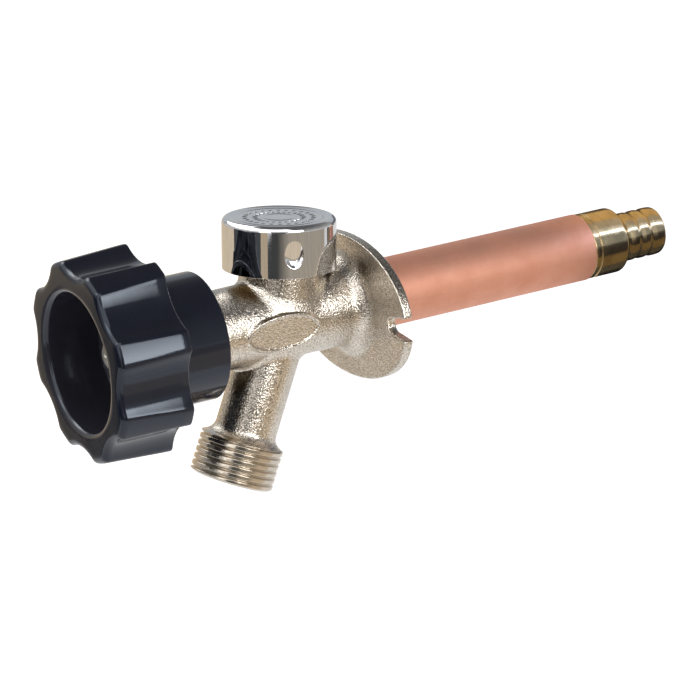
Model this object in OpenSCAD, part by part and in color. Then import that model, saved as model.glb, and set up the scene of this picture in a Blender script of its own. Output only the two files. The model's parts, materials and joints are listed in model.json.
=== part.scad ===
// Frost free sillcock with a copper supply tube, a crimp barb inlet and a vacuum breaker.
// The origin is where the tube axis meets the wall face of the flange.
// +Z is up and +Y runs into the wall along the tube. Stations along the tube axis count from the
// wall face, positive into the wall and negative towards the handle. Lengths are in millimetres.

/* [Casting] */
// Lean of the vacuum breaker towards the wall, in degrees
breaker_lean = 5; // [0:0.5:8]
// Distance from the wall face to the point where spout and vacuum breaker cross the tube axis
head_reach = 27.2; // [25:0.1:34]
// Distance from that crossing to the front end of the casting
front_len = 33.8; // [31:0.1:42]
// Outside diameter of the barrel at its front
barrel_d = 25.6; // [24:0.1:28]
// Outside diameter of the neck at the flange
neck_d = 27.4; // [25.4:0.1:30]
// Diameter of the water chamber
chamber_d = 20; // [18:0.1:21]
// Length of the chamber in front of the crossing
chamber_fore = 9.8; // [8.5:0.1:12]

/* [Wall flange] */
// Width of the oval flange
flange_w = 73.6; // [64:0.2:90]
// Height of the oval flange
flange_h = 47; // [42:0.2:60]
// Thickness of the flange
flange_t = 3.2; // [2.6:0.1:6]
// Drop of the flange's centre below the tube axis
flange_drop = 0.9; // [0:0.1:3]
// Width of each screw notch at its inner end
notch_w = 5.2; // [5:0.1:7]
// Depth of each screw notch
notch_depth = 10.8; // [7:0.1:12]
// Drop of the notches' middle below the tube axis
notch_drop = 2.2; // [0:0.1:4]
// Flare of each notch wall towards its mouth, in degrees
notch_flare = 8; // [0:0.5:12]
// Fillet between neck and flange
neck_fillet = 5; // [2:0.1:7]
// Depth of the cast relief around the tube in the wall face
relief_depth = 1.4; // [0.8:0.1:2]
// Width of that relief beyond the tube
relief_w = 3; // [2:0.1:4]

/* [Hose outlet] */
// Lean of the spout forwards from straight down, in degrees
spout_lean = 24.5; // [16:0.5:30]
// Distance along the spout axis from the crossing to the end of the hose thread
spout_len = 54.2; // [48:0.1:64]
// Outside diameter of the spout's neck
spout_neck_d = 20; // [18.2:0.1:22]
// Bore of the spout
spout_bore_d = 14.6; // [12:0.1:15.4]
// Outside diameter of the hose thread
hose_d = 26.97; // [25:0.01:30]
// Pitch of the hose thread
hose_pitch = 2.209; // [1.8:0.001:2.8]
// Turns of hose thread
hose_turns = 6; // [3:1:7]
// Depth of the hose thread
hose_depth = 1.2; // [0.8:0.05:1.5]
// Bore of the wider mouth inside the hose thread
mouth_d = 19; // [17:0.1:21]
// Depth of that mouth
mouth_depth = 9; // [5:0.1:12]

/* [Copper tube and inlet] */
// Outside diameter of the tube
tube_od = 22.22; // [21.4:0.02:23]
// Wall of the tube
tube_wall = 1.14; // [0.8:0.02:1.5]
// Length of tube behind the wall face
tube_out = 87; // [80:0.5:200]
// Depth of the tube's socket in the casting
tube_socket = 12; // [9:0.1:13]
// Length of the fitting's spigot inside the tube
spigot_len = 13; // [10:0.1:18]
// Outside diameter of the fitting's collar
collar_d = 21.8; // [20:0.1:22]
// Length of the collar
collar_len = 13.4; // [8:0.1:16]
// Length of the cone between collar and barb
cone_len = 2.9; // [1.5:0.1:5]
// Outside diameter of the barb's ribs
rib_d = 16.2; // [15.6:0.05:17.4]
// Depth of the valleys between the ribs
rib_depth = 0.65; // [0.4:0.05:0.9]
// Distance between the ribs
rib_pitch = 4.45; // [4:0.05:6]
// Count of ribs
rib_count = 3; // [2:1:4]
// Width of each rib's crest
rib_crest = 1.5; // [1:0.1:2]
// Bore of the barb
barb_bore_d = 11.8; // [10.6:0.1:12.4]
// Bore of the valve seat
seat_bore_d = 9.8; // [8:0.1:10.4]
// Width of the raised seat lip
seat_lip_w = 1; // [0.6:0.1:1.3]
// Height of the raised seat lip
seat_lip_h = 0.8; // [0.4:0.1:1.2]

/* [Stem and valve disc] */
// Diameter of the stem through the packing
stem_d = 9.52; // [8:0.02:11]
// Diameter of the stem's travelling thread
stem_thread_d = 14; // [13.6:0.1:15]
// Length of the stem's travelling thread
stem_thread_len = 10; // [7:0.1:12]
// Lead of the stem thread for each turn of the handle
stem_lead = 3.175; // [2:0.005:4]
// Turns of the handle from closed to open
stem_turns = 2; // [1:0.25:2.5]
// Width across flats of the square that drives the handle
drive_af = 6.6; // [5:0.1:7]
// Length of the stem's socket for the rod
rod_socket_len = 9.5; // [8:0.1:12]
// Diameter of the operating rod
rod_d = 8; // [6:0.1:9]
// Diameter of the cross pin that joins stem and rod
rod_pin_d = 2.4; // [1.6:0.1:3]
// Diameter of the swivelling washer holder
holder_d = 13.4; // [12.6:0.1:13.6]
// Diameter of the seat washer
washer_d = 12.4; // [12:0.1:12.6]
// Thickness of the seat washer
washer_t = 4.3; // [3:0.1:5]
// Diameter of the seat washer screw's shank
washer_screw_d = 4; // [3:0.1:4.4]

/* [Packing] */
// Diameter of the packing box
box_d = 18; // [16.6:0.1:18.6]
// Depth of the packing box
box_depth = 7; // [5.5:0.1:9]
// Thickness of the washer under the packing
packing_washer_t = 1; // [0.6:0.1:1.4]
// Thickness of the gland ring on the packing
gland_t = 1.2; // [0.8:0.1:1.6]
// Diameter of the thread that holds the packing nut
nut_thread_d = 23.2; // [22.2:0.1:23.6]
// Width of the packing nut across flats
nut_af = 27; // [26:0.1:29]
// Length of the nut's thread
nut_grip = 5; // [4:0.1:5.6]
// Thickness of the nut's front wall
nut_wall = 4; // [3.4:0.1:6]
// Section of the stem O-ring
o_ring_d = 1.78; // [1.4:0.02:2]

/* [Handle] */
// Diameter over the lobes at the back of the grip
handle_d = 65.8; // [60:0.2:76]
// Diameter over the lobes at the front of the grip
handle_front_d = 63.6; // [58:0.2:70]
// Depth of the lobed grip
grip_depth = 24.2; // [22:0.1:30]
// Count of lobes
lobes = 8; // [6:1:10]
// Turn of the lobes from level when the valve is closed, in degrees
lobe_turn = -16.2; // [-22.5:0.1:22.5]
// Radius of each scallop between the lobes
scallop_r = 16.6; // [10:0.1:24]
// Depth of each scallop below the back diameter
scallop_depth = 4.3; // [2:0.1:5]
// Rounding of the grip's front edge
grip_round = 1.5; // [1:0.1:3]
// Diameter of the front cup's mouth
cup_d = 44; // [38:0.2:48]
// Depth of the front cup
cup_depth = 19.4; // [16:0.1:22]
// Rounding of the cup's mouth
cup_round = 1.8; // [1:0.1:2.4]
// Narrowing of the cup from mouth to floor
cup_draft = 1.6; // [0:0.1:3]
// Diameter of the central boss in the cup
handle_boss_d = 23; // [16:0.2:28]
// Height of that boss above the cup floor
handle_boss_h = 6; // [2:0.1:8]
// Thickness of the web between cup and skirt
web_t = 4; // [3:0.1:6]
// Diameter of the skirt behind the grip
skirt_d = 41; // [39:0.1:48]
// Length of the skirt behind the grip
skirt_len = 18.9; // [17:0.1:24]
// Wall of the skirt
skirt_wall = 1.9; // [1.4:0.1:2.6]
// Overlap of the skirt over the casting's front end
skirt_overlap = 5.2; // [3:0.1:7]
// Shank diameter of the handle screw
handle_screw_d = 4; // [3:0.1:4.2]
// Head diameter of the handle screw
handle_screw_head_d = 8.4; // [7:0.1:10]
// Head height of the handle screw
handle_screw_head_h = 2; // [1.6:0.1:3]
// Thickness of the washer under that screw
handle_washer_t = 0.7; // [0.4:0.1:1.2]

/* [Vacuum breaker] */
// Diameter of the boss that carries the vacuum breaker
boss_d = 26; // [25.4:0.1:29]
// Height of the boss above the tube axis
boss_h = 17.4; // [16.6:0.1:21]
// Diameter of the port from the chamber
port_d = 11; // [8:0.1:12]
// Diameter of the bonnet's thread in the boss
bonnet_thread_d = 20; // [18.4:0.1:20.4]
// Length of the bonnet's thread
bonnet_thread_len = 6; // [4.5:0.1:6.2]
// Diameter of the cap
cap_d = 36.2; // [34:0.1:40]
// Height of the cap
cap_h = 16.4; // [16:0.1:20]
// Drop of the cap's edge below the top of the boss
cap_drop = 1.2; // [0:0.1:2.5]
// Wall of the cap
cap_wall = 0.8; // [0.5:0.05:1.2]
// Width of the raised rim round the cap's top
cap_rim_w = 2.4; // [1.6:0.1:4]
// Height of that rim above the cap's top disc
cap_rim_h = 0.6; // [0.3:0.05:1]
// Height of the cap's dimples above its lower edge
dimple_h = 6.9; // [6.2:0.1:8]
// Radius of the punch that makes each dimple
dimple_r = 3; // [2:0.1:3.4]
// Depth of each dimple
dimple_depth = 1.6; // [1:0.05:1.8]
// Count of dimples
dimples = 3; // [2:1:4]
// Lift of the poppet from open to closed
poppet_lift = 2.8; // [1.5:0.1:3.2]
// Diameter of the poppet disc
poppet_d = 17; // [15:0.1:18]
// Thickness of the poppet disc
poppet_t = 2.2; // [1.6:0.1:2.4]
// Thickness of the poppet's seal
seal_t = 1.5; // [1:0.1:1.8]
// Diameter of the poppet's guide pin
guide_d = 4; // [3:0.1:4.6]
// Count of vent holes
vents = 6; // [4:1:8]
// Diameter of each vent hole
vent_d = 3; // [2:0.1:3.4]

/* [Clearances] */
// Radial clearance of soldered, screwed and pressed joints
joint_gap = 0.05; // [0.02:0.01:0.1]
// Radial clearance of parts that turn or slide in each other
run_gap = 0.05; // [0.03:0.01:0.08]
// Gap between faces that meet when the valve is closed or assembled
face_gap = 0.05; // [0.02:0.01:0.1]
// Free play of loosely caged pieces
loose_gap = 0.3; // [0.2:0.05:0.5]

/* [Hidden] */
$fn = 96;
eps = 0.1;

// Set of the stem's end below the handle boss, and of the nut in front of the casting
drive_set = 0.5;
nut_set = 0.3;

// Stations along the tube axis
s_head = -head_reach;
s_front = s_head - front_len;
s_box = s_front + box_depth;
s_chamber = s_head - chamber_fore;
s_seat = tube_out - spigot_len;
s_collar = tube_out + collar_len;
s_barb = s_collar + cone_len;
s_inlet = s_barb + rib_count * rib_pitch + rib_crest / 2;
s_skirt = s_front + skirt_overlap;
s_grip = s_skirt - skirt_len;
s_handle = s_grip - grip_depth;
s_cup = s_handle + cup_depth;
s_web = s_cup + web_t;
s_boss = s_cup - handle_boss_h;
s_drive = s_boss + drive_set;
s_nut_seat = s_front - nut_set;
s_nut_back = s_nut_seat + nut_grip;
s_nut = s_nut_seat - nut_wall;

// Stem travel and the stations of the valve disc in its closed place
stem_travel = stem_lead * stem_turns;
stop_gap = 1.1;
s_thread = s_box + stem_travel + stop_gap;
s_thread_end = s_thread + stem_thread_len;
s_socket_end = s_thread_end + rod_socket_len;
s_pin = s_socket_end - rod_socket_len / 2;
s_washer = s_seat - face_gap;
s_recess = s_washer - washer_t;
recess_share = 0.55;
recess_depth = washer_t * recess_share;
screw_bite = 2.6;
knob_len = 3;
knob_neck_len = 3.4;
s_knob = s_recess - screw_bite;
s_holder = s_knob - knob_len - knob_neck_len;
knob_d = rod_d - 0.8;
knob_neck_d = rod_d - 2.8;
washer_head_d = washer_screw_d + 2;
washer_head_h = 2.2;
round_steps = 8;
slot_w = 0.9;
slot_depth = 1;
ring_groove = 0.6;
handle_washer_d = handle_screw_head_d + 2;
screw_grip = 10;

// Heights of the vacuum breaker above the crossing
z_cap = boss_h - cap_drop;
z_cap_top = z_cap + cap_h;
z_cap_roof = z_cap_top - cap_rim_h - cap_wall;
z_dimple = z_cap + dimple_h;
z_bonnet_top = z_cap_roof - poppet_lift - loose_gap;
bonnet_roof_t = 2.1;
z_vent = z_bonnet_top - bonnet_roof_t;
z_seal = z_vent - poppet_lift - face_gap;
z_poppet = z_seal - seal_t - poppet_t;
z_ledge = z_poppet - face_gap;
z_bonnet = boss_h - bonnet_thread_len;
cap_in_r = cap_d / 2 - cap_wall;
bonnet_r = cap_in_r - loose_gap;
dimple_tip_r = cap_d / 2 - dimple_depth - cap_wall;
groove_r = dimple_tip_r - loose_gap;
groove_half = dimple_r + cap_wall - loose_gap;
vent_circle_r = (guide_d + poppet_d) / 4;
dimple_turn = -15;
hex_share = 0.9;
ring_room = o_ring_d + 2 * joint_gap;

tube_id = tube_od - 2 * tube_wall;
hose_len = hose_turns * hose_pitch;
shoulder_slope = 0.6;
shoulder_len = (hose_d - spout_neck_d) / 2 * shoulder_slope;
hose_crest = 0.3 * hose_pitch;
stem_crest = 0.4 * stem_lead;
stem_root_d = stem_thread_d - stem_lead / 2;
rib_base_d = rib_d - 2 * rib_depth;

// Colours of the finished pieces
nickel = [0.72, 0.69, 0.64];
copper = [0.80, 0.50, 0.40];
brass = [0.76, 0.62, 0.34];
steel = [0.72, 0.72, 0.73];
chrome = [0.80, 0.81, 0.82];
black = [0.08, 0.08, 0.10];
rubber = [0.10, 0.10, 0.10];
graphite = [0.20, 0.20, 0.21];
acetal = [0.88, 0.87, 0.82];

// Places children on the tube axis, with Z into the wall, at station s
module along_tube(s = 0) {
    rotate([-90, 0, 0]) translate([0, 0, s]) children();
}

// Places children at the crossing, with Z along the vacuum breaker
module at_head() {
    translate([0, s_head, 0]) rotate([-breaker_lean, 0, 0]) children();
}

// Places children on the spout axis, with Z running out of the spout
module along_spout() {
    translate([0, s_head, 0]) rotate([180 - spout_lean, 0, 0]) children();
}

// A round bar from station a to station b
module bar(a, b, d) {
    translate([0, 0, a]) cylinder(h = b - a, d = d);
}

// A ring from station a to station b
module ring(a, b, d_out, d_in) {
    difference() {
        bar(a, b, d_out);
        bar(a - eps, b + eps, d_in);
    }
}

// A hexagonal bar from station a to station b
module hex_bar(a, b, af) {
    translate([0, 0, a]) cylinder(h = b - a, d = af / cos(30), $fn = 6);
}

// An O-ring of section d around a round bar of diameter inner
module o_ring(s, inner, d) {
    translate([0, 0, s]) rotate_extrude() translate([inner / 2 + d / 2, 0]) circle(d = d);
}

// A revolved row of ridges: flat crests of radius r, valleys deeper by depth, from station a
module ridges(a, count, pitch, crest, r, depth) {
    points = [for (i = [0 : count - 1], p = [
        [r - depth, a + i * pitch],
        [r, a + (i + 0.5) * pitch - crest / 2],
        [r, a + (i + 0.5) * pitch + crest / 2],
        [r - depth, a + (i + 1) * pitch]
    ]) p];
    inner = r - 2 * depth;
    rotate_extrude() polygon(concat([[inner, a]], points, [[inner, a + count * pitch]]));
}

// Outline of the oval flange, in the wall plane
module flange_outline() {
    sides = 120;
    polygon([for (i = [0 : sides - 1])
        [flange_w / 2 * cos(360 * i / sides), flange_h / 2 * sin(360 * i / sides)]]);
}

// Outline of one screw notch at the +X end of the flange
module notch_outline() {
    inner = flange_w / 2 - notch_depth;
    reach = notch_depth + eps;
    wide = notch_w / 2 + reach * tan(notch_flare);
    translate([inner + notch_w / 2, 0]) circle(d = notch_w);
    polygon([
        [inner + notch_w / 2, -notch_w / 2], [inner + reach, -wide],
        [inner + reach, wide], [inner + notch_w / 2, notch_w / 2]
    ]);
}

// The upright flange, its notches and the fillet of the neck
module flange_solid() {
    rotate([90, 0, 0]) linear_extrude(flange_t) difference() {
        translate([0, -flange_drop]) flange_outline();
        for (end = [0, 1]) mirror([end, 0]) translate([0, -notch_drop]) notch_outline();
    }
    rotate([90, 0, 0]) rotate_extrude() difference() {
        translate([0, flange_t / 2]) square([neck_d / 2 + neck_fillet, flange_t / 2 + neck_fillet]);
        translate([neck_d / 2 + neck_fillet, flange_t + neck_fillet]) circle(r = neck_fillet);
    }
}

// The barrel with the thread for the packing nut at its front
module barrel_solid() {
    shoulder = s_nut_back + loose_gap;
    rotate_extrude() polygon([
        [0, s_front], [nut_thread_d / 2, s_front], [nut_thread_d / 2, shoulder],
        [barrel_d / 2, shoulder], [neck_d / 2, -flange_t], [0, -flange_t]
    ]);
}

// The spout with its shoulder and hose thread
module spout_solid() {
    top = spout_len - hose_len;
    bar(0, spout_len, spout_neck_d);
    translate([0, 0, top - shoulder_len])
        cylinder(h = shoulder_len, d1 = spout_neck_d, d2 = hose_d - 2 * hose_depth);
    bar(top, spout_len, hose_d - 3 * hose_depth);
    ridges(top, hose_turns, hose_pitch, hose_crest, hose_d / 2, hose_depth);
}

// Waterways and seats inside the casting, on the tube axis
module casting_bores() {
    bar(-tube_socket, tube_od, tube_od + 2 * joint_gap);
    bar(s_chamber, -tube_socket + eps, chamber_d);
    bar(s_box - eps, s_chamber + eps, stem_thread_d + 2 * run_gap);
    bar(s_front - eps, s_box, box_d);
}

module valve_body() color(nickel) difference() {
    union() {
        along_tube() barrel_solid();
        flange_solid();
        at_head() cylinder(h = boss_h, d = boss_d);
        along_spout() spout_solid();
    }
    along_tube() casting_bores();
    along_spout() bar(0, spout_len + eps, spout_bore_d);
    along_spout() bar(spout_len - mouth_depth, spout_len + eps, mouth_d);
    at_head() bar(0, boss_h + eps, port_d);
    at_head() bar(z_bonnet - face_gap, boss_h + eps, bonnet_thread_d + 2 * joint_gap);
    at_head() bar(boss_h - ring_room, boss_h + eps, bonnet_thread_d + 2 * ring_room);
    rotate([90, 0, 0]) bar(-eps, relief_depth, tube_od + 2 * relief_w);
}

module supply_tube() color(copper) along_tube()
    ring(-tube_socket + face_gap, tube_out, tube_od, tube_id);

module inlet_fitting() color(brass) along_tube() difference() {
    union() {
        bar(s_seat + seat_lip_h, tube_out + eps, tube_id - 2 * joint_gap);
        bar(s_seat, s_seat + 2 * seat_lip_h, seat_bore_d + 2 * seat_lip_w);
        bar(tube_out, s_collar, collar_d);
        translate([0, 0, s_collar]) cylinder(h = cone_len, d1 = collar_d, d2 = rib_base_d);
        bar(s_collar, s_inlet, rib_base_d);
        ridges(s_barb, rib_count, rib_pitch, rib_crest, rib_d / 2, rib_depth);
    }
    bar(s_seat - eps, s_inlet + eps, seat_bore_d);
    bar(s_seat + spigot_len / 2, s_inlet + eps, barb_bore_d);
    ring(tube_out + ring_groove, tube_out + 2 * ring_groove, tube_od + 2, collar_d - ring_groove);
}

module packing_nut() color(brass) along_tube() difference() {
    hex_bar(s_nut, s_nut_back, nut_af);
    bar(s_nut - eps, s_nut_back + eps, stem_d + 2 * run_gap);
    bar(s_nut_seat, s_nut_back + eps, nut_thread_d + 2 * joint_gap);
    bar(s_nut + nut_wall / 2 - ring_room / 2, s_nut + nut_wall / 2 + ring_room / 2,
        stem_d + 2 * run_gap + 2 * ring_room);
}

module stem_o_ring() color(rubber) along_tube()
    o_ring(s_nut + nut_wall / 2, stem_d + 2 * run_gap, o_ring_d);

module packing_gland() color(brass) along_tube()
    ring(s_nut_seat + face_gap, s_nut_seat + face_gap + gland_t,
        box_d - 2 * joint_gap, stem_d + 2 * run_gap);

module packing_ring() color(graphite) along_tube()
    ring(s_nut_seat + gland_t + 2 * face_gap, s_box - packing_washer_t - 2 * face_gap,
        box_d - 2 * joint_gap, stem_d + 2 * run_gap);

module packing_washer() color(brass) along_tube()
    ring(s_box - packing_washer_t - face_gap, s_box - face_gap,
        box_d - 2 * joint_gap, stem_d + 2 * run_gap);

module operating_stem() color(brass) along_tube() difference() {
    union() {
        translate([-drive_af / 2, -drive_af / 2, s_drive])
            cube([drive_af, drive_af, s_web - s_drive + 2 * face_gap]);
        bar(s_web + face_gap, s_thread + eps, stem_d);
        bar(s_thread, s_socket_end, stem_root_d);
        ridges(s_thread, floor(stem_thread_len / stem_lead), stem_lead, stem_crest,
            stem_thread_d / 2, (stem_thread_d - stem_root_d) / 2);
    }
    bar(s_drive - eps, s_drive + screw_grip, handle_screw_d + 2 * joint_gap);
    bar(s_thread_end, s_socket_end + eps, rod_d + 2 * joint_gap);
    translate([0, 0, s_pin]) rotate([0, 90, 0])
        cylinder(h = 2 * stem_thread_d, d = rod_pin_d + 2 * joint_gap, center = true);
}

module operating_rod() color(brass) along_tube() difference() {
    union() {
        bar(s_thread_end + face_gap, s_holder - face_gap, rod_d);
        bar(s_holder - 2 * face_gap, s_knob - knob_len / 2, knob_neck_d);
        bar(s_knob - knob_len + face_gap, s_knob - face_gap, knob_d);
    }
    translate([0, 0, s_pin]) rotate([0, 90, 0])
        cylinder(h = 2 * rod_d, d = rod_pin_d + 2 * joint_gap, center = true);
}

module rod_pin() color(steel) along_tube(s_pin) rotate([0, 90, 0])
    cylinder(h = stem_root_d - 2 * loose_gap, d = rod_pin_d, center = true);

module washer_holder() color(brass) along_tube() difference() {
    bar(s_holder, s_recess + recess_depth, holder_d);
    bar(s_holder - eps, s_knob, knob_neck_d + 2 * run_gap);
    bar(s_knob - knob_len, s_knob, knob_d + 2 * run_gap);
    bar(s_knob - eps, s_recess + eps, washer_screw_d + 2 * joint_gap);
    bar(s_recess, s_recess + recess_depth + eps, washer_d + 2 * joint_gap);
}

module seat_washer() color(rubber) along_tube()
    ring(s_recess + face_gap, s_washer, washer_d, washer_screw_d + 2 * joint_gap);

module seat_washer_screw() color(brass) along_tube() difference() {
    union() {
        bar(s_knob + face_gap, s_washer + 2 * face_gap, washer_screw_d);
        bar(s_washer + face_gap, s_washer + washer_head_h, washer_head_d);
    }
    translate([-washer_head_d, -slot_w / 2, s_washer + washer_head_h - slot_depth])
        cube([2 * washer_head_d, slot_w, slot_depth + eps]);
}

// Outline of the lobed grip
module lobe_outline() {
    difference() {
        circle(d = handle_d);
        for (i = [0 : lobes - 1]) rotate(lobe_turn + 360 / lobes * (i + 0.5))
            translate([handle_d / 2 - scallop_depth + scallop_r, 0]) circle(r = scallop_r);
    }
}

// Points of a rounded edge at the handle's front, ending at radius r, on the inner or outer side
function front_edge(r, edge, side) = [for (i = [0 : round_steps]) let (a = 90 * i / round_steps)
    [r + side * edge * (1 - sin(a)), s_handle + edge * (1 - cos(a))]];

// Envelope that tapers the grip and rounds its front edge
module grip_envelope() {
    rotate_extrude() polygon(concat(
        [[0, s_handle]], front_edge(handle_front_d / 2, grip_round, -1),
        [[handle_d / 2, s_grip], [0, s_grip]]
    ));
}

// The front cup with its rounded mouth, around the central boss
module cup_space() {
    mouth_r = cup_d / 2;
    difference() {
        rotate_extrude() polygon(concat(
            [[0, s_handle - eps], [mouth_r + cup_round, s_handle - eps]],
            front_edge(mouth_r, cup_round, 1),
            [[mouth_r - cup_draft / 2, s_cup], [0, s_cup]]
        ));
        bar(s_boss, s_cup + eps, handle_boss_d);
    }
}

module handle_knob() color(black) along_tube() difference() {
    union() {
        intersection() {
            translate([0, 0, s_handle]) linear_extrude(grip_depth) lobe_outline();
            grip_envelope();
        }
        bar(s_cup, s_skirt, skirt_d);
    }
    cup_space();
    bar(s_web, s_skirt + eps, skirt_d - 2 * skirt_wall);
    drive_hole = drive_af + 2 * joint_gap;
    translate([-drive_hole / 2, -drive_hole / 2, s_drive - 2 * face_gap])
        cube([drive_hole, drive_hole, s_web - s_drive + 4 * face_gap]);
    bar(s_boss - eps, s_drive, handle_screw_d + 2 * joint_gap);
}

module handle_screw_washer() color(steel) along_tube()
    ring(s_boss - face_gap - handle_washer_t, s_boss - face_gap,
        handle_washer_d, handle_screw_d + 2 * joint_gap);

module handle_screw() color(steel) along_tube() {
    seat = s_boss - 2 * face_gap - handle_washer_t;
    difference() {
        union() {
            bar(seat - handle_screw_head_h, seat, handle_screw_head_d);
            bar(seat - eps, s_drive + screw_grip - loose_gap, handle_screw_d);
        }
        for (turn = [0, 90]) rotate(turn)
            translate([-handle_screw_head_d / 4, -slot_w / 2, seat - handle_screw_head_h - eps])
                cube([handle_screw_head_d / 2, slot_w, slot_depth + eps]);
    }
}

module vacuum_breaker_bonnet() color(brass) at_head() difference() {
    union() {
        bar(z_bonnet, boss_h + eps, bonnet_thread_d);
        intersection() {
            bar(boss_h + face_gap, z_bonnet_top, 2 * bonnet_r);
            rotate(dimple_turn) hex_bar(boss_h, z_bonnet_top, 2 * bonnet_r * hex_share);
        }
    }
    ring(z_dimple - groove_half, z_dimple + groove_half, cap_d, 2 * groove_r);
    bar(z_bonnet - eps, z_ledge + eps, port_d);
    bar(z_ledge, z_vent, poppet_d + 2 * loose_gap);
    bar(z_vent - eps, z_bonnet_top + eps, guide_d + 2 * run_gap);
    for (i = [0 : vents - 1]) rotate(360 / vents * i) translate([vent_circle_r, 0, 0])
        bar(z_vent - eps, z_bonnet_top + eps, vent_d);
}

module bonnet_o_ring() color(rubber) at_head()
    o_ring(boss_h - ring_room / 2, bonnet_thread_d + 2 * joint_gap, o_ring_d);

module vacuum_breaker_poppet() color(acetal) at_head() {
    bar(z_poppet, z_poppet + poppet_t, poppet_d);
    bar(z_poppet, z_bonnet_top, guide_d);
}

module poppet_seal() color(rubber) at_head()
    ring(z_poppet + poppet_t + face_gap, z_seal, poppet_d - 2 * loose_gap, guide_d + 2 * joint_gap);

// Places children at each dimple of the cap
module at_dimples(r) {
    for (i = [0 : dimples - 1]) rotate(360 / dimples * i + dimple_turn)
        translate([r, 0, z_dimple]) children();
}

module vacuum_breaker_cap() color(chrome) at_head() {
    lip = cap_rim_w / 3;
    punch_r = cap_d / 2 - dimple_depth + dimple_r;
    difference() {
        union() {
            rotate_extrude() polygon([
                [0, z_cap_roof], [cap_in_r, z_cap_roof], [cap_in_r, z_cap], [cap_d / 2, z_cap],
                [cap_d / 2, z_cap_top - lip], [cap_d / 2 - lip, z_cap_top],
                [cap_d / 2 - 2 * lip, z_cap_top], [cap_d / 2 - cap_rim_w, z_cap_top - cap_rim_h],
                [0, z_cap_top - cap_rim_h]
            ]);
            intersection() {
                bar(z_cap, z_cap_roof, 2 * cap_in_r + cap_wall);
                at_dimples(punch_r) sphere(r = dimple_r + cap_wall);
            }
        }
        at_dimples(punch_r) sphere(r = dimple_r);
    }
}

valve_body();
supply_tube();
inlet_fitting();
packing_nut();
packing_gland();
packing_ring();
packing_washer();
stem_o_ring();
operating_stem();
operating_rod();
rod_pin();
washer_holder();
seat_washer();
seat_washer_screw();
handle_knob();
handle_screw();
handle_screw_washer();
vacuum_breaker_bonnet();
bonnet_o_ring();
vacuum_breaker_cap();
vacuum_breaker_poppet();
poppet_seal();
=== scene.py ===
import itertools
import json
import math

import bmesh
import bpy
import numpy as np
from mathutils import Matrix, Vector, noise


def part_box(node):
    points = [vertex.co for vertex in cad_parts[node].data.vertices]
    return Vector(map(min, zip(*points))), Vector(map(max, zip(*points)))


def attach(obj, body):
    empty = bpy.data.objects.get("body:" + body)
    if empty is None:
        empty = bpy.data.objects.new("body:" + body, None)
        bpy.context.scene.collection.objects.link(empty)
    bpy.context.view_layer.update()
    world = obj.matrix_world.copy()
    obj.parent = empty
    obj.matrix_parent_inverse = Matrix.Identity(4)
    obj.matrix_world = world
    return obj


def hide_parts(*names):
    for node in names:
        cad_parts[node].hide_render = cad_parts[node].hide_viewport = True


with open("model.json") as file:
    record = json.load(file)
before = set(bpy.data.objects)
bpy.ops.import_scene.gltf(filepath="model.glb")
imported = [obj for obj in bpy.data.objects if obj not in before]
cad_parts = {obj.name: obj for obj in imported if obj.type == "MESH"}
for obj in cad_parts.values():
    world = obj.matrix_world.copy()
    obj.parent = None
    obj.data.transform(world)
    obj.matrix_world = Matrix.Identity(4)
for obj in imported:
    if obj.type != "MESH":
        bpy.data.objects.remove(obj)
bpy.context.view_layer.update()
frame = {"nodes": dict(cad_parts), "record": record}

# Looks of a frost free sillcock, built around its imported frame.
# Lengths are in millimetres in the frame's own axes: +X right, +Y into the wall along the tube, +Z up.
# They become metres when a mesh is made. A station is a distance along an axis from its start.

record = frame["record"]
nodes = frame["nodes"]
body_of = {node: body for body, members in record["behaviour"]["bodies"].items() for node in members}
slot_of = {part["node"]: part["material_slot"] for part in record["subparts"]}
MM = 0.001


class Axis:
    """A line in the YZ plane, with angles counted from +X towards its side direction."""

    def __init__(self, start_y, along_y, along_z):
        self.start = np.array([0.0, start_y, 0.0])
        self.along = np.array([0.0, along_y, along_z])
        self.side = np.cross(self.along, [1.0, 0.0, 0.0])

    def read(self, x, y, z):
        """Station and radius of points."""
        dy = y - self.start[1]
        side = dy * self.side[1] + z * self.side[2]
        return dy * self.along[1] + z * self.along[2], np.hypot(x, side)

    def place(self, radius, angle, station):
        """Points at these radii, angles and stations."""
        radius, angle, station = np.broadcast_arrays(radius, angle, station)
        along_x = np.outer(radius * np.cos(angle), [1.0, 0.0, 0.0])
        along_side = np.outer(radius * np.sin(angle), self.side)
        return self.start + (along_x + along_side) + np.outer(station, self.along)


# The part's main axes

HEAD_Y = -27.2
BREAKER_LEAN = math.radians(5)
SPOUT_LEAN = math.radians(24.5)
TUBE = Axis(0.0, 1.0, 0.0)
BREAKER = Axis(HEAD_Y, math.sin(BREAKER_LEAN), math.cos(BREAKER_LEAN))
SPOUT = Axis(HEAD_Y, -math.sin(SPOUT_LEAN), -math.cos(SPOUT_LEAN))


def reach(node):
    """Lowest and highest corners of a CAD node."""
    low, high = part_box(node)
    return np.array(low) / MM, np.array(high) / MM


def turn_angles(count):
    return np.linspace(0.0, 2 * math.pi, count, endpoint=False)


def smooth_step(low, high, value):
    share = np.clip((value - low) / (high - low), 0.0, 1.0)
    return share * share * (3 - 2 * share)


# Mesh helpers

CELL_CORNERS = np.array(list(itertools.product((0, 1), repeat=3)))
CORNER_ROOM = 0.49


def ring_surface(rings):
    """Points and faces of a loop of rings that all have the same count of points."""
    count = len(rings[0])
    here = np.arange(count)
    after = np.roll(here, -1)
    faces = []
    for i in range(len(rings)):
        a = i * count
        b = (i + 1) % len(rings) * count
        faces.extend(np.stack([a + here, a + after, b + after, b + here], 1).tolist())
    return np.concatenate(rings), faces


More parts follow.
